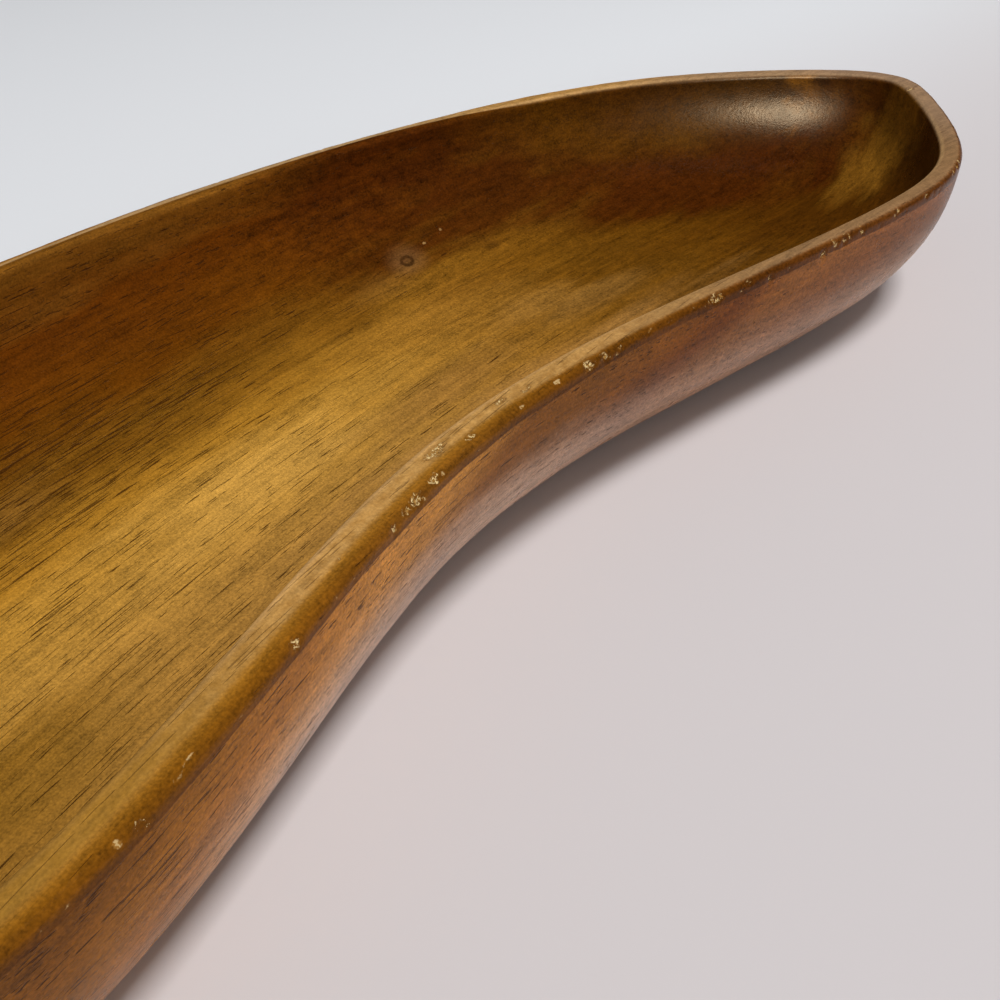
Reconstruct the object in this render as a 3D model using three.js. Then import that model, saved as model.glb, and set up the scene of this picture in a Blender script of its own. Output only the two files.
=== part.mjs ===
// A kidney-shaped fruit bowl, carved from one block of wood.
// Millimetres, +Z up. The origin is under the middle of the rim, on the surface that the bowl stands on.
import * as THREE from 'three';

// Driving sizes
const length = 496; // end to end, over the rim
const breadth = 198; // crown of the far side to the lobes of the near side
const height = 50; // foot to rim
const rimWidth = 7.6; // thickness of the wall at its top, where it is neither thicker nor thinner
const outerEdgeRadius = 2.4; // rounding of the rim's outer edge
const innerEdgeRadius = 2; // rounding of the rim's inner edge
const footReach = 50; // how far the outside draws in from the rim to the flat foot
const hollowReach = 54; // how far the inside draws in from the rim to the flat of the floor
const floorThickness = 9; // wood under the floor of the hollow

// Powers of the superellipse that each wall follows from the rim down: 2 is a plain ellipse,
// and a higher power makes the turn at the bottom tighter
const hullPower = { across: 2.6, up: 2.3 };
const hollowPower = { across: 2.3, up: 2 };

// Fineness of the facets
const pointsAround = 120;
const wallRings = 12;
const edgeRings = 3;

// Control points of the rim, anticlockwise from the crown of the far side. `at` is the point on the
// drawing, which is stretched to the bowl's length and breadth. `inward` says which way the wall draws
// in below it, and how far, as a share of the wall's reach. `thick` is the rim's thickness there, as a
// share of its usual width: the carver left it thick before the waist and thin beyond it.
const rimControl = [
  { at: [32, 101], inward: [-0.1, -1], thick: 1 }, // crown of the far side
  { at: [-127, 104], inward: [0.2, -1], thick: 1 },
  { at: [-243, 15], inward: [0.96, -0.22], thick: 1 }, // left end
  { at: [-252, -73], inward: [0.98, 0.4], thick: 1.05 },
  { at: [-160, -107], inward: [0.6, 0.85], thick: 1.25 }, // left lobe
  { at: [-48, -60], inward: [0.35, 1.02], thick: 1.42 }, // waist of the near side
  { at: [59, -80], inward: [-0.15, 0.96], thick: 0.72 },
  { at: [150, -101], inward: [-0.55, 1.12], thick: 0.87 }, // right lobe
  { at: [190, -89], inward: [-0.75, 1.2], thick: 1.04 },
  { at: [234, -61], inward: [-0.9, 0.72], thick: 0.95 },
  { at: [263, -36], inward: [-1.08, 0.25], thick: 1.08 }, // right end, the narrower one
  { at: [202, 46], inward: [-0.66, -0.74], thick: 0.93 },
  { at: [130, 78], inward: [-0.3, -0.92], thick: 0.98 },
];

// A closed uniform cubic B-spline, as evenly stepped points
function closedSpline(control, count) {
  const points = [];
  for (let i = 0; i < count; i += 1) {
    const t = (i * control.length) / count;
    const span = Math.floor(t);
    const f = t - span;
    const weights = [
      (1 - f) ** 3,
      3 * f ** 3 - 6 * f ** 2 + 4,
      -3 * f ** 3 + 3 * f ** 2 + 3 * f + 1,
      f ** 3,
    ];
    const point = new THREE.Vector2();
    weights.forEach((weight, k) => {
      const knot = control[(span + k - 1 + control.length) % control.length];
      point.addScaledVector(knot, weight / 6);
    });
    points.push(point);
  }
  return points;
}

// The drawing stretched and centred, so that the rim is exactly as long and as broad as stated
function stretchedControl() {
  const drawn = rimControl.map(({ at }) => new THREE.Vector2(...at));
  const box = new THREE.Box2().setFromPoints(closedSpline(drawn, pointsAround));
  const stretch = new THREE.Vector2(length, breadth).divide(box.getSize(new THREE.Vector2()));
  const middle = box.getCenter(new THREE.Vector2());
  return drawn.map((point) => point.clone().sub(middle).multiply(stretch));
}

// The rim's control points moved in by a reach give the outline that a wall comes down to
function drawnIn(control, reach) {
  return control.map((point, i) => {
    const inward = new THREE.Vector2(...rimControl[i].inward);
    return point.clone().addScaledVector(inward, reach);
  });
}

// The rim's thickness at each point around
function thicknessAround() {
  const shares = rimControl.map(({ thick }) => new THREE.Vector2(thick, 0));
  return closedSpline(shares, pointsAround).map(({ x }) => x * rimWidth);
}

// The outline moved in square to itself, at each point by its own distance
function offsetInward(outline, distances) {
  return outline.map((point, i) => {
    const before = outline[(i + outline.length - 1) % outline.length];
    const after = outline[(i + 1) % outline.length];
    const along = after.clone().sub(before).normalize();
    return new THREE.Vector2(point.x - along.y * distances[i], point.y + along.x * distances[i]);
  });
}

// A level ring of points in space
function ring(outline, z) {
  return outline.map(({ x, y }) => new THREE.Vector3(x, y, z));
}

// Rings of a wall from its upper outline at `top` down to its lower outline at `bottom`
function wall(upper, lower, top, bottom, power) {
  const rings = [];
  for (let i = 0; i <= wallRings; i += 1) {
    const angle = (i / wallRings) * (Math.PI / 2);
    const out = Math.cos(angle) ** (2 / power.across);
    const drop = Math.sin(angle) ** (2 / power.up);
    const outline = lower.map((point, k) => point.clone().lerp(upper[k], i === wallRings ? 0 : out));
    rings.push(ring(outline, top - (top - bottom) * drop));
  }
  return rings;
}

// Rings of a rounded edge, from the side of the wall up to the flat of the rim. `depths` turns the
// distance from the wall into distances in from the rim's outline, all around.
function roundedEdge(outline, radius, depths) {
  const rings = [];
  for (let i = 1; i <= edgeRings; i += 1) {
    const angle = (i / edgeRings) * (Math.PI / 2);
    const offset = offsetInward(outline, depths(radius * (1 - Math.cos(angle))));
    rings.push(ring(offset, height - radius + radius * Math.sin(angle)));
  }
  return rings;
}

// Triangles between neighbouring rings, with a flat lid on the first and the last
function closedBody(rings) {
  const count = rings[0].length;
  const triangles = [];
  for (let r = 0; r < rings.length - 1; r += 1) {
    for (let i = 0; i < count; i += 1) {
      const a = r * count + i;
      const b = r * count + ((i + 1) % count);
      triangles.push([a, b, b + count], [a, b + count, a + count]);
    }
  }
  const lid = (points) => THREE.ShapeUtils.triangulateShape(points.map(({ x, y }) => new THREE.Vector2(x, y)), []);
  const last = (rings.length - 1) * count;
  lid(rings[0]).forEach(([a, b, c]) => triangles.push([a, c, b]));
  lid(rings.at(-1)).forEach((corners) => triangles.push(corners.map((corner) => last + corner)));
  const geometry = new THREE.BufferGeometry();
  const places = rings.flat().flatMap(({ x, y, z }) => [x, y, z]);
  geometry.setAttribute('position', new THREE.Float32BufferAttribute(places, 3));
  geometry.setIndex(triangles.flat());
  geometry.computeVertexNormals();
  return geometry;
}

function bowlGeometry() {
  const control = stretchedControl();
  const rim = closedSpline(control, pointsAround);
  const foot = closedSpline(drawnIn(control, footReach), pointsAround);
  const floor = closedSpline(drawnIn(control, rimWidth + hollowReach), pointsAround);
  const thickness = thicknessAround();
  const mouth = offsetInward(rim, thickness);

  const outside = wall(rim, foot, height - outerEdgeRadius, 0, hullPower).reverse();
  const fromOutside = (depth) => thickness.map(() => depth);
  const fromMouth = (depth) => thickness.map((width) => width - depth);
  const outerEdge = roundedEdge(rim, outerEdgeRadius, fromOutside);
  const innerEdge = roundedEdge(rim, innerEdgeRadius, fromMouth).reverse();
  const inside = wall(mouth, floor, height - innerEdgeRadius, floorThickness, hollowPower);
  return closedBody([...outside, ...outerEdge, ...innerEdge, ...inside]);
}

const wood = new THREE.MeshStandardMaterial({ color: 0x8a5526, roughness: 0.38, metalness: 0 });

const bowl = new THREE.Mesh(bowlGeometry(), wood);
bowl.name = 'bowl';

const fruitBowl = new THREE.Group();
fruitBowl.add(bowl);

export default fruitBowl;
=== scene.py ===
import math

import bmesh
import bpy
from mathutils import Matrix, Vector


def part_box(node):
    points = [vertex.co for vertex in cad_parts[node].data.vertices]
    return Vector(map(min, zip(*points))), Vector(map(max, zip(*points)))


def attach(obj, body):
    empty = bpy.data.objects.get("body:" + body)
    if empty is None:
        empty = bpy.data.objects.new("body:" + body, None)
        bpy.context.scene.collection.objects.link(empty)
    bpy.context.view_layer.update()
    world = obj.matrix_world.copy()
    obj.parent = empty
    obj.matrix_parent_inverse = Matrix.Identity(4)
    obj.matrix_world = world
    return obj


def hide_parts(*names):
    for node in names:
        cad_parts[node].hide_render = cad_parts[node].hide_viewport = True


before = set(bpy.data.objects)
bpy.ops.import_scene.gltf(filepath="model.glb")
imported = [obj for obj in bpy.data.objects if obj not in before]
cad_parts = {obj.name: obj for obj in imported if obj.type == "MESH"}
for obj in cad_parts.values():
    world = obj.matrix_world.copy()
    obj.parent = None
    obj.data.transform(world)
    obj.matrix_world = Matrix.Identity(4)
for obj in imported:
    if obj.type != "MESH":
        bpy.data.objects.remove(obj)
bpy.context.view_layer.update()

MM = 0.001
QUARTER_TURN = math.pi / 2

# The bowl's own sizes. Its length, breadth and height come from the frame.
foot_corner, rim_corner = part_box("bowl")
LENGTH, BREADTH, HEIGHT = rim_corner - foot_corner
RIM_WIDTH = 7.6 * MM
OUTER_EDGE_RADIUS = 2.4 * MM
INNER_EDGE_RADIUS = 2.0 * MM
FOOT_REACH = 50 * MM
HOLLOW_REACH = 54 * MM
FLOOR_THICKNESS = 9 * MM
HULL_POWER = {"across": 2.6, "up": 2.3}
HOLLOW_POWER = {"across": 2.3, "up": 2.0}

# Control points of the rim, anticlockwise from the crown of the far side: x and y on the drawing,
# the way in which the wall draws in below the point, and the rim's thickness there as a share of its
# usual width.
RIM_CONTROL = [
    (32, 101, -0.1, -1, 1),  # crown of the far side
    (-127, 104, 0.2, -1, 1),
    (-243, 15, 0.96, -0.22, 1),  # left end
    (-252, -73, 0.98, 0.4, 1.05),
    (-160, -107, 0.6, 0.85, 1.25),  # left lobe
    (-48, -60, 0.35, 1.02, 1.42),  # waist of the near side
    (59, -80, -0.15, 0.96, 0.72),
    (150, -101, -0.55, 1.12, 0.87),  # right lobe
    (190, -89, -0.75, 1.2, 1.04),
    (234, -61, -0.9, 0.72, 0.95),
    (263, -36, -1.08, 0.25, 1.08),  # right end, the narrower one
    (202, 46, -0.66, -0.74, 0.93),
    (130, 78, -0.3, -0.92, 0.98),
]

# Chips along the rim: x, y and z of the middle, then length along the rim, reach across it to either
# side and depth
CHIPS = [
    (-51.5, -68.0, 50, 8.0, 1.7, 0.5),  # the longest, torn along the fibres
    (-43.0, -70.5, 50, 4.0, 1.2, 0.4),
    (-58.0, -73.6, 49, 5.0, 1.4, 0.6),
    (-64.5, -75.2, 49, 5.5, 1.6, 0.7),
    (-68.5, -76.0, 49, 3.0, 1.2, 0.5),
    (-73.0, -77.6, 48.6, 2.6, 1.3, 0.6),
    (-29.0, -67.0, 50, 4.5, 1.0, 0.3),
    (-22.0, -68.6, 50, 3.5, 0.9, 0.35),
    (-12.0, -70.8, 49.4, 2.0, 0.8, 0.4),
    (-4.0, -73.0, 49, 5.0, 1.5, 0.7),
    (1.5, -74.2, 49, 3.5, 1.5, 0.7),
    (7.0, -74.4, 49, 2.2, 0.8, 0.5),
    (15.0, -76.4, 49, 2.0, 0.8, 0.4),
    (25.0, -77.6, 49.2, 3.0, 0.9, 0.4),
    (41.5, -80.6, 49.4, 7.0, 2.0, 0.6),
    (54.0, -83.0, 49.4, 3.5, 1.3, 0.5),
    (62.0, -85.2, 47.6, 2.4, 1.6, 0.5),
    (84.0, -89.6, 47.4, 2.6, 1.6, 0.6),
    (93.5, -91.4, 48.2, 2.6, 1.2, 0.6),
    (101.5, -93.0, 48.6, 2.4, 1.0, 0.5),
    (136.0, -97.9, 48.6, 3.0, 0.8, 0.5),
    (149.0, -98.0, 48.6, 4.0, 0.8, 0.5),
    (163.5, -96.8, 49, 3.0, 1.2, 0.6),
    (232.0, -55.6, 49.6, 2.6, 1.4, 0.4),
    (-86.5, -76.4, 50, 1.6, 0.8, 0.3),
    (-104.5, -85.6, 49.2, 3.0, 1.6, 0.5),
    (-107.5, -87.2, 48.6, 2.0, 1.0, 0.5),
    (-140.5, -94.6, 49, 3.2, 1.6, 0.6),
]

# Fineness of the surface
FINENESS = {
    "Points Between Knots": 104,
    "Wall Rings": 21,
    "Edge Rings": 7,
    "Top Rings": 8,
    "Closing Rings": 3,
}
# The rings of a wall crowd together towards the rim, where the chips are; 1 would space them evenly
RING_CROWDING = 1.6

WELD_DISTANCE = 0.02 * MM

# The foot and the floor close towards a curved line along their middle, this many times as long as they
SPINE_LENGTH = 0.8
# y of the line at its crest, and how much less it is at the reach to either side
SPINE_CREST = 13 * MM
SPINE_DROP = 38 * MM
SPINE_REACH = 190 * MM
# How far the rings of a flat go towards the line
CLOSED_SHARE = 0.96

# Noise that varies the form: bumps per metre, detail and roughness
SEED = 4.0
RUB_NOISE = (45.0, 2.0, 0.5)
WOBBLE_NOISE = (22.0, 1.0, 0.5)
TORN_NOISE = (800.0, 2.0, 0.6)
NICK_NOISE = (330.0, 2.0, 0.55)

# The outer edge is rounded off by at least this share of its radius, and by up to the range more
LEAST_RUB = 0.45
RUB_RANGE = 0.9
# How far a wall strays from its true place for a whole unit of noise, and the noise where it doesn't
UNEVENNESS = 0.5 * MM
WOBBLE_MIDDLE = 0.62
# How far a chip's outline strays, as a share of its size
TORN_RANGE = 0.9
NICK_DEPTH = 0.3 * MM


class Wire:
    """An output in a node tree. Arithmetic on values adds the Math nodes that work it out."""

    def __init__(self, tree, socket):
        self.tree = tree
        self.socket = socket

    def node(self, kind, settings=None, inputs=None, output=0):
        """Adds one node to the tree: its settings first, then the values or links of its sockets."""
        return add_node(self.tree, kind, settings, inputs, output)

    def output(self, name):
        """Another output of the same node."""
        return Wire(self.tree, self.socket.node.outputs[name])

    def math(self, operation, *others):
        return self.node("ShaderNodeMath", {"operation": operation}, dict(enumerate((self, *others))))

    def __add__(self, other):
        return self.math("ADD", other)

    __radd__ = __add__

    def __mul__(self, other):
        return self.math("MULTIPLY", other)

    def __sub__(self, other):
        return self.math("SUBTRACT", other)

    def __rsub__(self, other):
        return self.node("ShaderNodeMath", {"operation": "SUBTRACT"}, {0: other, 1: self})

    def __truediv__(self, other):
        return self.math("DIVIDE", other)

    def __pow__(self, other):
        return self.math("POWER", other)

    def clamp(self):
        return self.node("ShaderNodeClamp", inputs={"Value": self})

    def step(self, low, high):
        """0 below `low`, 1 above `high` and a smooth rise between them; `low` may be the larger."""
        settings = {"interpolation_type": "SMOOTHSTEP"}
        return self.node("ShaderNodeMapRange", settings, {"Value": self, "From Min": low, "From Max": high})

    def vector_math(self, operation, *others, output=0):
        inputs = dict(enumerate((self, *others)))
        return self.node("ShaderNodeVectorMath", {"operation": operation}, inputs, output)

    def scaled(self, factor):
        """A vector times a value."""
        return self.node("ShaderNodeVectorMath", {"operation": "SCALE"}, {"Vector": self, "Scale": factor})

    def parts(self):
        """The x, y and z of a vector."""
        split = self.node("ShaderNodeSeparateXYZ", inputs={"Vector": self})
        return split, split.output("Y"), split.output("Z")


def add_node(tree, kind, settings=None, inputs=None, output=0):
    made = tree.nodes.new(kind)
    for name, value in (settings or {}).items():
        if name == "stops":
            set_stops(made.color_ramp, value)
        else:
            setattr(made, name, value)
    for name, value in (inputs or {}).items():
        if isinstance(value, Wire):
            tree.links.new(value.socket, made.inputs[name])
        else:
            made.inputs[name].default_value = value
    return Wire(tree, made.outputs[output]) if len(made.outputs) else made


def blend(tree, kind, factor, first, second):
    """Mixes two colours, "RGBA", or two vectors, "VECTOR"."""
    made = tree.nodes.new("ShaderNodeMix")
    made.data_type = kind
    word = {"VECTOR": "Vector", "RGBA": "Color"}[kind]
    ends = {"Factor_Float": factor, f"A_{word}": first, f"B_{word}": second}
    for socket in made.inputs:
        value = ends.get(socket.identifier)
        if isinstance(value, Wire):
            tree.links.new(value.socket, socket)
        elif value is not None:
            socket.default_value = value
    result = next(socket for socket in made.outputs if socket.identifier == f"Result_{word}")
    return Wire(tree, result)


def set_stops(ramp, stops):
    """Gives a colour ramp its stops, each a place and a colour."""
    while len(ramp.elements) < len(stops):
        ramp.elements.new(1)
    for element, (place, colour) in zip(ramp.elements, stops):
        element.position = place
        element.color = colour


def vector(tree, x, y, z):
    return add_node(tree, "ShaderNodeCombineXYZ", inputs={"X": x, "Y": y, "Z": z})


# Geometry of the bowl


def named(tree, name, kind):
    return add_node(tree, "GeometryNodeInputNamedAttribute", {"data_type": kind}, {"Name": name})


def store(geometry, name, kind, value):
    settings = {"data_type": kind, "domain": "POINT"}
    inputs = {"Geometry": geometry, "Name": name, "Value": value}
    return geometry.node("GeometryNodeStoreNamedAttribute", settings, inputs)


def sample(points, value, index):
    """A vector that one point of a curve or a cloud has."""
    settings = {"data_type": "FLOAT_VECTOR", "domain": "POINT"}
    inputs = {"Geometry": points, "Value": value, "Index": index}
    return points.node("GeometryNodeSampleIndex", settings, inputs)


def moved(geometry, offset):
    return geometry.node("GeometryNodeSetPosition", inputs={"Geometry": geometry, "Offset": offset})


def put(geometry, place):
    return geometry.node("GeometryNodeSetPosition", inputs={"Geometry": geometry, "Position": place})


def noise(place, scale, detail, roughness, seed):
    """Soft random values from 0 to 1 over a place; the scale is in bumps per unit of the place."""
    inputs = {"Vector": place, "W": seed, "Scale": scale, "Detail": detail, "Roughness": roughness}
    return place.node("ShaderNodeTexNoise", {"noise_dimensions": "4D"}, inputs, "Fac")


def outline(points, reach, resolution):
    """The closed spline of the rim's control points, drawn in by a reach, as evenly stepped points."""
    tree = points.tree
    drawn_in = moved(points, named(tree, "inward", "FLOAT_VECTOR").scaled(reach))
    order = add_node(tree, "GeometryNodeInputIndex")
    curve = drawn_in.node("GeometryNodePointsToCurves", inputs={"Points": drawn_in, "Weight": order})
    curve = curve.node("GeometryNodeSetSplineCyclic", inputs={"Geometry": curve, "Cyclic": True})
    curve = curve.node("GeometryNodeCurveSplineType", {"spline_type": "NURBS"}, {"Curve": curve})
    inputs = {"Geometry": curve, "Resolution": resolution}
    curve = curve.node("GeometryNodeSetSplineResolution", inputs=inputs)
    return curve.node("GeometryNodeResampleCurve", {"mode": "EVALUATED"}, {"Curve": curve})


def bowl_tree(material):
    """A node tree that draws the rim, lofts the walls below it and wears the edges down."""
    tree = bpy.data.node_groups.new("carved bowl", "GeometryNodeTree")
    tree.is_modifier = True
    tree.interface.new_socket("Geometry", in_out="OUTPUT", socket_type="NodeSocketGeometry")
    tree.interface.new_socket("Rim And Chips", in_out="INPUT", socket_type="NodeSocketGeometry")
    sizes = {
        "Length": LENGTH,
        "Breadth": BREADTH,
        "Height": HEIGHT,
        "Rim Width": RIM_WIDTH,
        "Outer Edge Radius": OUTER_EDGE_RADIUS,
        "Inner Edge Radius": INNER_EDGE_RADIUS,
        "Foot Reach": FOOT_REACH,
        "Hollow Reach": HOLLOW_REACH,
        "Floor Thickness": FLOOR_THICKNESS,
        "Hull Across": HULL_POWER["across"],
        "Hull Up": HULL_POWER["up"],
        "Hollow Across": HOLLOW_POWER["across"],
        "Hollow Up": HOLLOW_POWER["up"],
        "Unevenness": UNEVENNESS,
        "Seed": SEED,
    }
    for name in sizes:
        tree.interface.new_socket(name, in_out="INPUT", socket_type="NodeSocketFloat")
    for name in FINENESS:
        tree.interface.new_socket(name, in_out="INPUT", socket_type="NodeSocketInt")
    start = add_node(tree, "NodeGroupInput")
    size = {name: start.output(name) for name in (*sizes, *FINENESS)}
    seed = size["Seed"]

    # The control points and the middles of the chips arrive as vertices of one mesh
    is_chip = named(tree, "chip_size", "FLOAT_VECTOR").parts()[0].math("GREATER_THAN", 0.0)
    cloud = start.node("GeometryNodeMeshToPoints", inputs={"Mesh": start})
    inputs = {"Geometry": cloud, "Selection": is_chip}
    chips = start.node("GeometryNodeSeparateGeometry", {"domain": "POINT"}, inputs)
    drawn = chips.output("Inverted")

    # The drawing is stretched and centred, so that the rim is exactly as long and as broad as stated
    resolution = size["Points Between Knots"]
    position = add_node(tree, "GeometryNodeInputPosition")
    raw = outline(drawn, 0.0, resolution)
    low = raw.node("GeometryNodeBoundBox", inputs={"Geometry": raw, "Use Radius": False}, output="Min")
    high = low.output("Max")
    middle = low.vector_math("ADD", high).scaled(0.5)
    wanted = vector(tree, size["Length"], size["Breadth"], 0.0)
    stretch = wanted.vector_math("DIVIDE", high.vector_math("SUBTRACT", low))
    control = put(drawn, position.vector_math("SUBTRACT", middle).vector_math("MULTIPLY", stretch))

    rim_line = outline(control, 0.0, resolution)
    foot_line = outline(control, size["Foot Reach"], resolution)
    floor_line = outline(control, size["Rim Width"] + size["Hollow Reach"], resolution)

    # Rings of the section, from the middle of the foot up the outside, over the rim and down the inside
    around = resolution * len(RIM_CONTROL)
    foot_edge = size["Closing Rings"]
    edge_start = foot_edge + size["Wall Rings"]
    top_start = edge_start + size["Edge Rings"]
    inner_start = top_start + size["Top Rings"]
    mouth = inner_start + size["Edge Rings"]
    floor_edge = mouth + size["Wall Rings"]
    last = floor_edge + size["Closing Rings"]
    columns = around + 1
    grid = start.node("GeometryNodeMeshGrid", inputs={"Vertices X": last + 1, "Vertices Y": columns})

    index = add_node(tree, "GeometryNodeInputIndex")
    ring = (index / columns).math("FLOOR")
    column = index - ring * columns
    here = column.math("MODULO", around)
    ahead = (column + 1).math("MODULO", around)
    behind = (column + around - 1).math("MODULO", around)

    def share(first, count):
        return ((ring - first) / count).clamp()

    def superellipse(down, across, up):
        """How far out and how far down a wall is, as it goes from its top, 0, to its bottom, 1."""
        angle = down * QUARTER_TURN
        out = angle.math("COSINE").math("MAXIMUM", 0.0) ** exponent(across)
        drop = angle.math("SINE") ** exponent(up)
        return out, drop

    def exponent(power):
        """2 over the power of a superellipse."""
        return power.node("ShaderNodeMath", {"operation": "DIVIDE"}, {0: 2.0, 1: power})

    down_outside = (1 - share(foot_edge, size["Wall Rings"])) ** RING_CROWDING
    outer_turn = share(edge_start, size["Edge Rings"]) * QUARTER_TURN
    over = share(top_start, size["Top Rings"])
    inner_turn = share(inner_start, size["Edge Rings"]) * QUARTER_TURN
    down_inside = share(mouth, size["Wall Rings"]) ** RING_CROWDING
    closing = 1 - share(0.0, foot_edge) + share(floor_edge, size["Closing Rings"])

    rim_point = sample(rim_line, position, here)
    next_point = sample(rim_line, position, ahead)
    point_before = sample(rim_line, position, behind)
    along = next_point.vector_math("SUBTRACT", point_before).vector_math("NORMALIZE")
    along_x, along_y, _ = along.parts()
    inward = vector(tree, along_y * -1, along_x, 0.0)

    # The outer edge is rounded off more in some places than in others
    rub = noise(rim_point, *RUB_NOISE, seed) * RUB_RANGE + LEAST_RUB
    outer_radius = size["Outer Edge Radius"] * rub
    inner_radius = size["Inner Edge Radius"]
    thickness = sample(rim_line, named(tree, "thick", "FLOAT_VECTOR"), here).parts()[0] * size["Rim Width"]
    depth = (
        outer_radius * (1 - outer_turn.math("COSINE"))
        + (thickness - outer_radius - inner_radius) * over
        + inner_radius * inner_turn.math("SINE")
    )
    out_hull, drop_hull = superellipse(down_outside, size["Hull Across"], size["Hull Up"])
    out_hollow, drop_hollow = superellipse(down_inside, size["Hollow Across"], size["Hollow Up"])
    outside_drop = (size["Height"] - outer_radius) * drop_hull
    inside_drop = (size["Height"] - inner_radius - size["Floor Thickness"]) * drop_hollow
    level = (
        size["Height"]
        - outer_radius * (1 - outer_turn.math("SINE"))
        - inner_radius * (1 - inner_turn.math("COSINE"))
        - outside_drop
        - inside_drop
    )

    on_rim = rim_point.vector_math("ADD", inward.scaled(depth))
    outside = blend(tree, "VECTOR", out_hull, sample(foot_line, position, here), on_rim)
    plan = blend(tree, "VECTOR", out_hollow, sample(floor_line, position, here), outside)

    # Inside its edge each flat closes towards the line along its middle
    spine_x = plan.parts()[0] * SPINE_LENGTH
    spine_y = SPINE_CREST - (spine_x / SPINE_REACH) ** 2 * SPINE_DROP
    spine = vector(tree, spine_x, spine_y, 0.0)
    plan = blend(tree, "VECTOR", closing * CLOSED_SHARE, plan, spine)
    plan_x, plan_y, _ = plan.parts()

    shaped = put(grid, vector(tree, plan_x, plan_y, level))
    section = depth - outside_drop + inside_drop
    shaped = store(shaped, "section", "FLOAT", section)
    shaped = store(shaped, "thickness", "FLOAT", thickness)
    shaped = store(shaped, "along", "FLOAT_VECTOR", along)
    inputs = {"Geometry": shaped, "Distance": WELD_DISTANCE}
    welded = shaped.node("GeometryNodeMergeByDistance", inputs=inputs)
    welded = welded.node("GeometryNodeFlipFaces", inputs={"Mesh": welded})

    # The gouge left the walls a little uneven, but the foot is flat
    normal = add_node(tree, "GeometryNodeInputNormal")
    lift = position.parts()[2]
    off_foot = lift.step(0.5 * MM, 6 * MM)
    below_rim = lift.step(size["Height"] - 1 * MM, size["Height"] - 9 * MM)
    wobble = (noise(position, *WOBBLE_NOISE, seed + 1) - WOBBLE_MIDDLE) * size["Unevenness"]
    carved = moved(welded, normal.scaled(wobble * off_foot * below_rim))

    # Chips: each point of the surface looks up the nearest one and measures how far inside it lies
    inputs = {"Geometry": chips, "Sample Position": position}
    nearest = chips.node("GeometryNodeSampleNearest", {"domain": "POINT"}, inputs)
    chip_size = sample(chips, named(tree, "chip_size", "FLOAT_VECTOR"), nearest)
    chip_long, chip_wide, chip_deep = chip_size.parts()
    apart_by = position.vector_math("SUBTRACT", sample(chips, position, nearest))
    rim_way = named(tree, "along", "FLOAT_VECTOR")
    length_off = apart_by.vector_math("DOT_PRODUCT", rim_way, output="Value")
    total_off = apart_by.vector_math("LENGTH", output="Value")
    across_off = (total_off ** 2 - length_off ** 2).math("MAXIMUM", 0.0).math("SQRT")
    distance = ((length_off / chip_long) ** 2 + (across_off / chip_wide) ** 2).math("SQRT")
    tear = 1 - distance.math("MINIMUM", 2.0)
    torn = (tear + (noise(position, *TORN_NOISE, seed + 2) - 0.5) * TORN_RANGE).step(0.1, 0.4)
    # Small nicks all along the outer edge
    across_section = named(tree, "section", "FLOAT")
    near_edge = across_section.step(-2.5 * MM, 0.0) * across_section.step(3.5 * MM, 1.2 * MM)
    nick = noise(position, *NICK_NOISE, seed + 3) * near_edge
    sink = (torn * chip_deep + nick.step(0.58, 0.68) * NICK_DEPTH) * -1
    worn = moved(carved, normal.scaled(sink))
    worn = store(worn, "tear", "FLOAT", tear)
    worn = store(worn, "nick", "FLOAT", nick)

    smooth = worn.node("GeometryNodeSetShadeSmooth", inputs={"Geometry": worn})
    real = smooth.node("GeometryNodeRealizeInstances", inputs={"Geometry": smooth})
    done = real.node("GeometryNodeSetMaterial", inputs={"Geometry": real, "Material": material})
    add_node(tree, "NodeGroupOutput", inputs={"Geometry": done})
    return tree, {**sizes, **FINENESS}


def starting_points():
    """A mesh of loose vertices: the rim's control points, then the middles of the chips."""
    mesh = bpy.data.meshes.new("rim and chips")
    rim = [(x * MM, y * MM, 0) for x, y, *_ in RIM_CONTROL]
    chips = [(x * MM, y * MM, z * MM) for x, y, z, *_ in CHIPS]
    mesh.from_pydata(rim + chips, [], [])
    chip_sizes = [(length / 2 * MM, reach * MM, depth * MM) for *_, length, reach, depth in CHIPS]
    no_rim = [(0, 0, 0)] * len(chips)
    no_chip = [(0, 0, 0)] * len(rim)
    values = {
        "inward": [(x, y, 0) for _, _, x, y, _ in RIM_CONTROL] + no_rim,
        "thick": [(thick, 0, 0) for *_, thick in RIM_CONTROL] + no_rim,
        "chip_size": no_chip + chip_sizes,
    }
    for name, vectors in values.items():
        attribute = mesh.attributes.new(name, "FLOAT_VECTOR", "POINT")
        attribute.data.foreach_set("vector", [part for vector in vectors for part in vector])
    return mesh


def close_flats(mesh):
    """Closes the narrow slit left in the middle of the foot and of the floor, and turns all faces out."""
    work = bmesh.new()
    work.from_mesh(mesh)
    bmesh.ops.holes_fill(work, edges=[edge for edge in work.edges if edge.is_boundary], sides=0)
    bmesh.ops.recalc_face_normals(work, faces=work.faces)
    for face in work.faces:
        face.smooth = True
    work.to_mesh(mesh)
    work.free()


def carved_bowl(material):
    shape = bpy.data.objects.new("bowl_shape", starting_points())
    bpy.context.scene.collection.objects.link(shape)
    tree, values = bowl_tree(material)
    modifier = shape.modifiers.new("carving", "NODES")
    modifier.node_group = tree
    for item in tree.interface.items_tree:
        if item.in_out == "INPUT" and item.name in values:
            modifier[item.identifier] = values[item.name]
    bpy.context.view_layer.update()
    finished = shape.evaluated_get(bpy.context.evaluated_depsgraph_get())
    mesh = bpy.data.meshes.new_from_object(finished)
    mesh.name = "carved_bowl"
    bpy.data.objects.remove(shape)
    close_flats(mesh)
    bowl = bpy.data.objects.new("carved_bowl", mesh)
    bpy.context.scene.collection.objects.link(bowl)
    return bowl


# Materials


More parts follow.
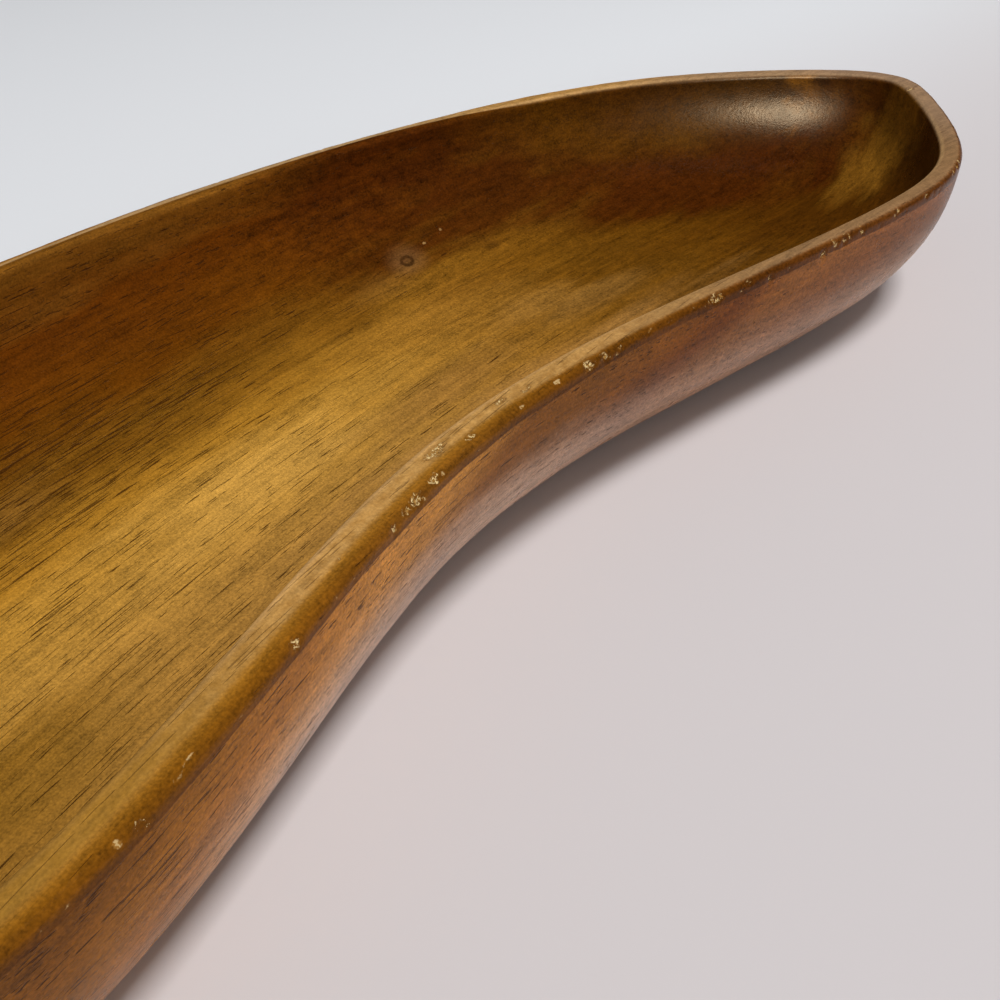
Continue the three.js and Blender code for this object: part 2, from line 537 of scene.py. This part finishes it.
def on_screen(red, green, blue):
    """A colour given as it looks on a screen, 0 to 255 a channel, in the values that shaders take."""

    def linear(value):
        value /= 255
        return value / 12.92 if value <= 0.04045 else ((value + 0.055) / 1.055) ** 2.4

    return (linear(red), linear(green), linear(blue), 1)


def new_material(name):
    material = bpy.data.materials.new(name)
    material.use_nodes = True
    return material, material.node_tree.nodes["Principled BSDF"]


def link(wire, socket):
    wire.tree.links.new(wire.socket, socket)


def attribute(tree, name):
    return add_node(tree, "ShaderNodeAttribute", {"attribute_name": name}, output="Fac")


def ramp(value, low, high, stops):
    """A run of colours over a value; each stop is a place between `low` and `high` and a colour."""
    inputs = {"Value": value, "From Min": low, "From Max": high}
    share = value.node("ShaderNodeMapRange", inputs=inputs)
    placed = [((place - low) / (high - low), colour) for place, colour in stops]
    return share.node("ShaderNodeValToRGB", {"stops": placed}, {"Fac": share}, "Color")


# The grain runs along X in shallow arcs: across it, a line has bent by this much at 1 mm from its crest
GRAIN_CREST = 35
GRAIN_BEND = 1 / 1920
# Millimetres that a growth layer moves across the grain for each millimetre that it rises
LAYER_SLOPE = 0.8
# The heartwood, with painted shade at the foot of the far wall, follows an arc along the far wall, which
# has come down from its crest by x * x / HEART_ARC
HEART_CREST = (10, 80)
HEART_ARC = 425

# Colour of the growth layers that the left of the hollow cuts through, from the near wall to the far rim
LAYER_COLOURS = [
    (-60, on_screen(160, 116, 54)),
    (-30, on_screen(170, 123, 56)),
    (0, on_screen(175, 128, 52)),
    (18, on_screen(178, 129, 48)),
    (32, on_screen(162, 113, 34)),
    (44, on_screen(131, 87, 21)),
    (60, on_screen(108, 68, 13)),
    (80, on_screen(93, 50, 4)),
    (108, on_screen(91, 45, 3)),
    (124, on_screen(118, 74, 20)),
]

# Colour of the hollow along the right half, from x = 0 to the tip
RIGHT_COLOURS = [
    (0, on_screen(157, 109, 36)),
    (50, on_screen(150, 103, 34)),
    (76, on_screen(134, 90, 27)),
    (100, on_screen(114, 73, 15)),
    (125, on_screen(101, 63, 11)),
    (150, on_screen(96, 58, 8)),
    (180, on_screen(80, 45, 5)),
    (226, on_screen(80, 45, 6)),
    # Painted light: the last stop lightens the end wall at the tip, which the lamps light too little
    (240, on_screen(156, 98, 22)),
]

# Patches of colour in the hollow: x and y of the middle, half the length along the grain, half the
# breadth across it, strength and colour. Later ones lie over earlier ones.
HOLLOW_PATCHES = [
    (-52, 2, 36, 12, 0.6, on_screen(198, 149, 68)),
    (-45, 14, 36, 9, 0.4, on_screen(198, 148, 64)),
    (30, -32, 90, 13, 0.6, on_screen(152, 110, 58)),
    (18, -7, 32, 9, 0.55, on_screen(142, 100, 46)),
    (92, -10, 24, 8, 0.5, on_screen(138, 99, 46)),
    (-139, -37, 26, 16, 0.85, on_screen(122, 82, 14)),
    (-115, -38, 40, 14, 0.5, on_screen(148, 106, 42)),
    (-105, 42, 24, 7, 0.5, on_screen(138, 96, 38)),
    (75, 3, 20, 8, 0.5, on_screen(154, 110, 48)),
    (50, 53, 16, 6, 0.4, on_screen(130, 88, 34)),
    (84, 36, 34, 9, 0.4, on_screen(108, 66, 10)),
    # Painted light: a lighter patch on the end of the hollow at the tip, which the lamps light too little
    (226, -58, 28, 18, 0.7, on_screen(160, 109, 33)),
    (29, 48, 14, 8, 0.5, on_screen(108, 67, 12)),
    (165, 24, 17, 8, 0.7, on_screen(70, 31, 4)),
    (99, 43, 3.4, 2, 0.5, on_screen(66, 38, 8)),
    (-200, -10, 50, 70, 0.5, on_screen(124, 80, 22)),
]

# Colour of the outside just under the rim, from the left end to the right. The colours lean: they move
# to the right by so many millimetres for each millimetre that the wall rises.
HULL_TOP = 46
HULL_LEAN = 2
HULL_COLOURS = [
    (-150, on_screen(118, 70, 17)),
    (-125, on_screen(150, 93, 25)),
    (-100, on_screen(164, 102, 35)),
    (-70, on_screen(198, 132, 56)),
    (-50, on_screen(178, 119, 49)),
    (-25, on_screen(130, 78, 24)),
    (0, on_screen(121, 72, 20)),
    (28, on_screen(122, 70, 18)),
    (52, on_screen(106, 55, 15)),
    (76, on_screen(136, 83, 36)),
    (120, on_screen(132, 79, 38)),
    (245, on_screen(98, 57, 26)),
]

# Colour of the outer edge of the rim, by the distance in from the rim's outline; less than 0 is down the
# outside
AMBER_COLOURS = [
    (-1.3, on_screen(84, 45, 8)),
    (0.2, on_screen(104, 61, 9)),
    (1.6, on_screen(123, 76, 12)),
    (3.4, on_screen(142, 94, 24)),
]

# Small marks in the hollow: x, y, half the length, half the breadth, strength and colour
MARKS = [
    (79, 58.7, 0.8, 0.5, 0.6, on_screen(170, 132, 80)),
    (88.7, 59.3, 0.6, 0.5, 0.5, on_screen(170, 132, 80)),
]
KNOT = (67.4, 56.7)

# Patches where the figure ripples and where the pores are crowded: x, y, half the length, half the breadth
RIPPLED_PATCH = (50, 78, 60, 16)
CROWDED_PATCH = (-100, 44, 80, 22)

# Single colours
# Heartwood, and painted shade at the foot of the far wall
HEARTWOOD_AND_PAINTED_SHADE = on_screen(67, 28, 3)
# Painted sheen around the knot
KNOT_PAINTED_SHEEN = on_screen(138, 100, 58)
KNOT_RING = on_screen(46, 24, 6)
FAR_OUTSIDE = on_screen(112, 66, 24)
# Painted sheen, low on the near side of the outside
PAINTED_LOW_SHEEN = on_screen(206, 167, 138)
WORN = on_screen(162, 117, 58)
WORN_PALER = on_screen(196, 150, 86)
WORN_RIGHT = on_screen(138, 106, 74)
# A painted highlight along the inner edge of the rim
INNER_EDGE_HIGHLIGHT = on_screen(216, 172, 116)
WORN_FAR_SIDE = on_screen(176, 146, 106)
WORN_LEFT = on_screen(140, 98, 24)
WORN_TIP = on_screen(150, 124, 100)
EDGE_RIGHT = on_screen(72, 36, 6)
PORE = on_screen(58, 29, 6)
STRAW = on_screen(166, 120, 56)
STRAW_PALER = on_screen(236, 206, 146)
ROUND_A_CHIP = on_screen(92, 52, 12)

# The finish
ROUGHNESS = 0.29
SPECULAR_LEVEL = 0.09


class Block:
    """The block of wood that the bowl is cut from: a place in it, in millimetres, and the grain there."""

    def __init__(self, tree):
        self.place = add_node(tree, "ShaderNodeTexCoord", output="Object").scaled(1 / MM)
        self.x, self.y, self.z = self.place.parts()
        self.across = self.y + (self.x - GRAIN_CREST) ** 2 * GRAIN_BEND
        self.grain = vector(tree, self.x, self.across, self.z)
        self.layer = self.across + (self.z - FLOOR_THICKNESS / MM) * LAYER_SLOPE
        # Added to a place, this makes the borders of the colours wander
        self.drift = self.streaks(50, 9, 3, 1.0)

    def streaks(self, length, width, detail, seed, roughness=0.5):
        """Noise in streaks of about this length along the grain and width across it, -0.5 to 0.5."""
        drawn_out = self.grain.vector_math("MULTIPLY", (1 / length, 1 / width, 1 / width))
        return noise(drawn_out, 1.0, detail, roughness, seed) - 0.5

    def speckle(self, size, detail, seed, roughness=0.6):
        """Noise that is as wide as it is long, -0.5 to 0.5."""
        return noise(self.place, 1 / size, detail, roughness, seed) - 0.5

    def from_middle(self, patch):
        """Distance from the middle of a patch that follows the grain, 1 at its edge."""
        x, y, half_length, half_breadth, *_ = patch
        bent = y + (x - GRAIN_CREST) ** 2 * GRAIN_BEND
        long_off = (self.x - x) / half_length
        wide_off = (self.across - bent) / half_breadth
        return (long_off ** 2 + wide_off ** 2).math("SQRT")

    def pores(self, length, width, share, seed):
        """Dark lines along the grain, 1 inside one. `share` is roughly the part of the surface in them."""
        line = self.streaks(length, width, 2, seed, 0.45)
        limit = 0.19 - share * 0.3
        return (line - limit).step(0.0, 0.04)


def paint(colour, strength, over):
    """`over` in front of `colour`, as opaque as `strength`."""
    return blend(colour.tree, "RGBA", strength, colour, over)


def shade(tree, colour):
    """A plain colour as a wire."""
    made = add_node(tree, "ShaderNodeRGB")
    made.socket.default_value = colour
    return made


def hollow_colour(block):
    """The layers on the left, the darker right half, the heartwood along the far wall with painted shade at
    its foot, and the knot with a painted sheen around it.
    """
    drift = block.drift
    colour = ramp(block.layer + drift * 26, -60, 130, LAYER_COLOURS)
    right = ramp(block.x + drift * 60, 0, 240, RIGHT_COLOURS)
    low_layers = (block.layer + drift * 20).step(54, 30)
    colour = paint(colour, (block.x + drift * 80).step(-30, 60) * low_layers, right)
    right_end = block.x.step(70, 150)
    colour = paint(colour, right_end * 0.8, right)

    # Dark band along the far wall: heartwood, partly painted shade at the wall's foot
    crest_x, crest_y = HEART_CREST
    from_arc = block.y + (block.x - crest_x) ** 2 / HEART_ARC - crest_y + drift * 22
    heart_and_shade = from_arc.step(-28, -6) * from_arc.step(25, 12) * block.x.step(15, 70) * (1 + drift * 2)
    colour = paint(colour, heart_and_shade.clamp() * 0.85, HEARTWOOD_AND_PAINTED_SHADE)

    for patch in HOLLOW_PATCHES:
        *_, strength, patch_colour = patch
        within = (block.from_middle(patch) + drift * 1.8).step(1.5, 0.3)
        colour = paint(colour, within * strength, patch_colour)
    for mark in MARKS:
        *_, strength, mark_colour = mark
        colour = paint(colour, block.from_middle(mark).step(1.2, 0.7) * strength, mark_colour)

    knot_x, knot_y = KNOT
    from_knot = (((block.x - knot_x) * 0.8) ** 2 + (block.y - knot_y) ** 2).math("SQRT")
    # Painted sheen: a pale haze around the knot
    colour = paint(colour, from_knot.step(9, 2) * 0.3, KNOT_PAINTED_SHEEN)
    ring = from_knot.step(2.7, 2.0) * from_knot.step(0.8, 1.5)
    return paint(colour, ring * 0.7, KNOT_RING)


def hull_colour(block):
    """The outside, whose colours lean, and its browner far side."""
    leaning = block.x + (HULL_TOP - block.z) * HULL_LEAN + block.drift * 26
    colour = ramp(leaning, -150, 250, HULL_COLOURS)
    far = block.y.step(-10, 60)
    colour = paint(colour, far * 0.7, FAR_OUTSIDE)
    # Painted sheen: the near side is paler low down, most of all left of the waist
    low_sheen = (block.z + block.drift * 12).step(40, 21) * block.z.step(1, 8) * block.y.step(-30, -60)
    strength = 0.9 - block.x.step(-40, 40) * 0.5 + block.x.step(100, 160) * 0.25
    return paint(colour, low_sheen * (block.x.step(-145, -95) * strength), PAINTED_LOW_SHEEN)


def oiled_wood():
    """Brown wood with a satin finish, worn pale on the flat of the rim and torn in the chips."""
    material, shader = new_material("oiled wood")
    tree = material.node_tree
    block = Block(tree)
    thickness = attribute(tree, "thickness") / MM
    section = attribute(tree, "section") / MM
    over_rim = section / thickness
    outside = over_rim.step(0.5, 0.1)
    colour = paint(hollow_colour(block), outside, hull_colour(block))

    # Streaks of four sizes and speckles of three; the shortest streaks are curly figure
    rippled = block.from_middle(RIPPLED_PATCH).step(1.3, 0.4)
    curly = block.x.step(0, 110) * 0.8 * (1 - outside * 0.6) + rippled * 1.1 + 0.25
    tone = (
        block.speckle(0.9, 2, 19.0) * (block.x.step(-60, 60) + outside * 0.4)
        + block.streaks(120, 5, 2, 2.0) * 0.6
        + block.streaks(40, 1.8, 3, 3.0) * 0.9
        + block.streaks(12, 0.6, 3, 4.0, 0.6) * 0.75
        + block.speckle(7, 4, 5.0, 0.65) * 0.6
        + block.speckle(0.55, 2, 15.0) * 1.5
        + block.streaks(5, 2.4, 3, 16.0, 0.6) * curly
    )
    colour = colour.scaled(tone + 1)

    # Flat of the rim: the finish has worn off and the wood is pale and fuzzy
    ragged = block.speckle(1.1, 4, 7.0, 0.65)
    fuzzy = over_rim + ragged * 0.16 + block.x.step(-45, 0) * 0.16 + block.x.step(0, 150) * 0.08
    # Up to where it nears the tip, the far side is worn on its outer half only
    far_side = block.y.step(0, 40) * block.x.step(150, 80) * 0.4
    bare = (fuzzy + far_side).step(0.3, 0.5) * (over_rim + far_side).step(1.0, 0.9)
    mottled = block.speckle(2.5, 5, 8.0, 0.7).step(-0.2, 0.2)
    right_of_waist = block.x.step(-30, 80) * block.y.step(0, -20)
    # Painted highlight: a pale line along the inner edge of the rim
    inner_edge_highlight = over_rim.step(0.72, 0.9) * (1 - far_side)
    pale = paint(shade(tree, WORN), mottled, WORN_PALER)
    pale = paint(pale, right_of_waist * 0.9, WORN_RIGHT)
    pale = paint(pale, inner_edge_highlight * 0.5, INNER_EDGE_HIGHLIGHT)
    pale = paint(pale, far_side * 1.6, WORN_FAR_SIDE)
    pale = paint(pale, block.x.step(-90, -145) * 0.85, WORN_LEFT)
    pale = paint(pale, block.x.step(170, 220) * 0.7, WORN_TIP)
    fibrous = 1 + tone * 0.5 + block.streaks(6, 0.7, 3, 17.0) * 0.5
    colour = paint(colour, bare * 0.85, pale.scaled(fibrous))

    # Outer edge of the rim: amber above and dark brown at its lower side
    from_edge = section + ragged * 0.5
    amber = ramp(from_edge, -1.4, 3.6, AMBER_COLOURS)
    amber = paint(amber, block.x.step(-60, 80) * 0.85, EDGE_RIGHT)
    edge = from_edge.step(-1.35, -0.95) * fuzzy.step(0.52, 0.28)
    colour = paint(colour, edge * 0.9, amber.scaled(1 + tone))

    # Pores
    crowded = (block.from_middle(CROWDED_PATCH) + block.drift).step(1.4, 0.5)
    crowd = block.streaks(60, 9, 2, 6.0)
    left = block.x.step(110, -60)
    share = (crowd * 0.35 + crowded * 0.18 + left * 0.16 + outside * 0.02 + 0.03) * (1 - edge)
    pores = block.pores(24, 0.45, share, 0.0).math("MAXIMUM", block.pores(11, 0.6, share * 0.9, 31.0))
    colour = paint(colour, pores * (1 - bare * 0.5) * 0.85, PORE)

    # Chips and nicks: torn fibres, straw-coloured with bright threads, in a ragged darker surround
    tear = attribute(tree, "tear")
    chipped = (tear + block.speckle(0.9, 3, 18.0, 0.7) * 2.8).step(0.3, 0.6)
    nick = (attribute(tree, "nick") + ragged * 0.12).step(0.61, 0.66)
    fibre = block.speckle(1.1, 2, 10.0).math("ABSOLUTE").step(0.08, 0.02)
    straw = paint(shade(tree, STRAW), fibre, STRAW_PALER)
    colour = paint(colour, tear.step(-0.1, 0.2) * 0.3, ROUND_A_CHIP)
    colour = paint(colour, chipped * 0.9, straw)
    colour = paint(colour, nick * 0.5, straw)

    link(colour, shader.inputs["Base Color"])
    dull = block.speckle(8, 3, 11.0) * 0.2 + bare * 0.2 + chipped * 0.2 + pores * 0.1 + ROUGHNESS
    link(dull, shader.inputs["Roughness"])
    shader.inputs["Specular IOR Level"].default_value = SPECULAR_LEVEL
    relief = (
        block.streaks(9, 0.5, 3, 12.0, 0.6) * 0.06
        - pores * 0.09
        + ragged * bare * 0.12
        + fibre * chipped * 0.2
        - chipped * 0.15
        + block.speckle(1.4, 4, 13.0, 0.65) * 0.05
    )
    bump = add_node(tree, "ShaderNodeBump", inputs={"Height": relief, "Distance": MM, "Strength": 1.0})
    link(bump, shader.inputs["Normal"])
    return material


wood = oiled_wood()
bowl = carved_bowl(wood)
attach(bowl, "root")
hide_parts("bowl")


# Floor, light and camera

FLOOR_REACH = 4.0
FLOOR_ROUGHNESS = 0.9
NEAR_FLOOR = (0.59, 0.55, 0.553, 1)
# Painted light: the floor behind the bowl is brighter
FAR_FLOOR_PAINTED_BRIGHTER = (0.73, 0.738, 0.758, 1)

ROOM_COLOUR = (0.95, 0.97, 1, 1)
ROOM_STRENGTH = 0.21
# Each lamp's place, the point that it faces, its width and height, its watts and its colour
WHITE = (1, 1, 1)
KEY = ((0.38, -1.08, 3.0), (0, 0, 0), (0.85, 0.85), 90, WHITE)
FILL = ((-1.6, -1.65, 0.9), (0.1, 0, 0.03), (0.9, 0.7), 8, WHITE)
WINDOW = ((-1.6, -1.65, 0.9), (0.1, 0, 0.03), (0.2, 0.5), 190, (1, 0.76, 0.48))

# The photograph's view. The focal length is as long as the picture is wide. The angles are in degrees:
# the heading from +Y towards +X, the tilt down from the level, and the roll.
CAMERA_PLACE = (-169.1 * MM, -187.3 * MM, 167 * MM)
CAMERA_HEADING = 49
CAMERA_TILT = 38
CAMERA_ROLL = -3
PICTURE_WIDTH = 36
NEAREST_SEEN = 0.01


def floor_paint():
    """Pinkish white around the bowl and a colder white behind it, with painted light making it brighter
    there.
    """
    material, shader = new_material("pale floor")
    shader.inputs["Roughness"].default_value = FLOOR_ROUGHNESS
    shader.inputs["Specular IOR Level"].default_value = 0
    tree = material.node_tree
    x, y, _ = add_node(tree, "ShaderNodeTexCoord", output="Object").parts()
    # Painted light: the floor grows brighter behind the bowl
    behind = (y + x * 0.15).step(-0.06, 0.25)
    link(blend(tree, "RGBA", behind, NEAR_FLOOR, FAR_FLOOR_PAINTED_BRIGHTER), shader.inputs["Base Color"])
    return material


def pale_floor():
    mesh = bpy.data.meshes.new("floor")
    corners = [(x * FLOOR_REACH, y * FLOOR_REACH, 0) for x, y in ((-1, -1), (1, -1), (1, 1), (-1, 1))]
    mesh.from_pydata(corners, [], [(0, 1, 2, 3)])
    floor = bpy.data.objects.new("floor", mesh)
    bpy.context.scene.collection.objects.link(floor)
    mesh.materials.append(floor_paint())


def soft_lamp(name, place, towards, size, watts, colour):
    light = bpy.data.lights.new(name, "AREA")
    light.shape = "RECTANGLE"
    light.size, light.size_y = size
    light.energy = watts
    light.color = colour
    lamp = bpy.data.objects.new(name, light)
    lamp.location = place
    lamp.rotation_euler = (Vector(towards) - Vector(place)).to_track_quat("-Z", "Y").to_euler()
    bpy.context.scene.collection.objects.link(lamp)
    return lamp


def studio_light():
    """Soft light from above and from the left. Only the window shows as a highlight, and it lights
    nothing otherwise."""
    world = bpy.data.worlds.new("room")
    world.use_nodes = True
    background = world.node_tree.nodes["Background"]
    background.inputs["Color"].default_value = ROOM_COLOUR
    background.inputs["Strength"].default_value = ROOM_STRENGTH
    world.cycles_visibility.glossy = False
    bpy.context.scene.world = world
    soft_lamp("key", *KEY).visible_glossy = False
    soft_lamp("fill", *FILL).visible_glossy = False
    soft_lamp("window", *WINDOW).visible_diffuse = False


def photo_camera():
    data = bpy.data.cameras.new("camera")
    data.sensor_width = PICTURE_WIDTH
    data.lens = PICTURE_WIDTH
    data.clip_start = NEAREST_SEEN
    camera = bpy.data.objects.new("camera", data)
    heading = Matrix.Rotation(math.radians(-CAMERA_HEADING), 4, "Z")
    tilt = Matrix.Rotation(math.radians(90 - CAMERA_TILT), 4, "X")
    roll = Matrix.Rotation(math.radians(CAMERA_ROLL), 4, "Z")
    camera.matrix_world = Matrix.Translation(CAMERA_PLACE) @ heading @ tilt @ roll
    bpy.context.scene.collection.objects.link(camera)
    bpy.context.scene.camera = camera


pale_floor()
studio_light()
photo_camera()
bpy.context.scene.view_settings.view_transform = "Standard"
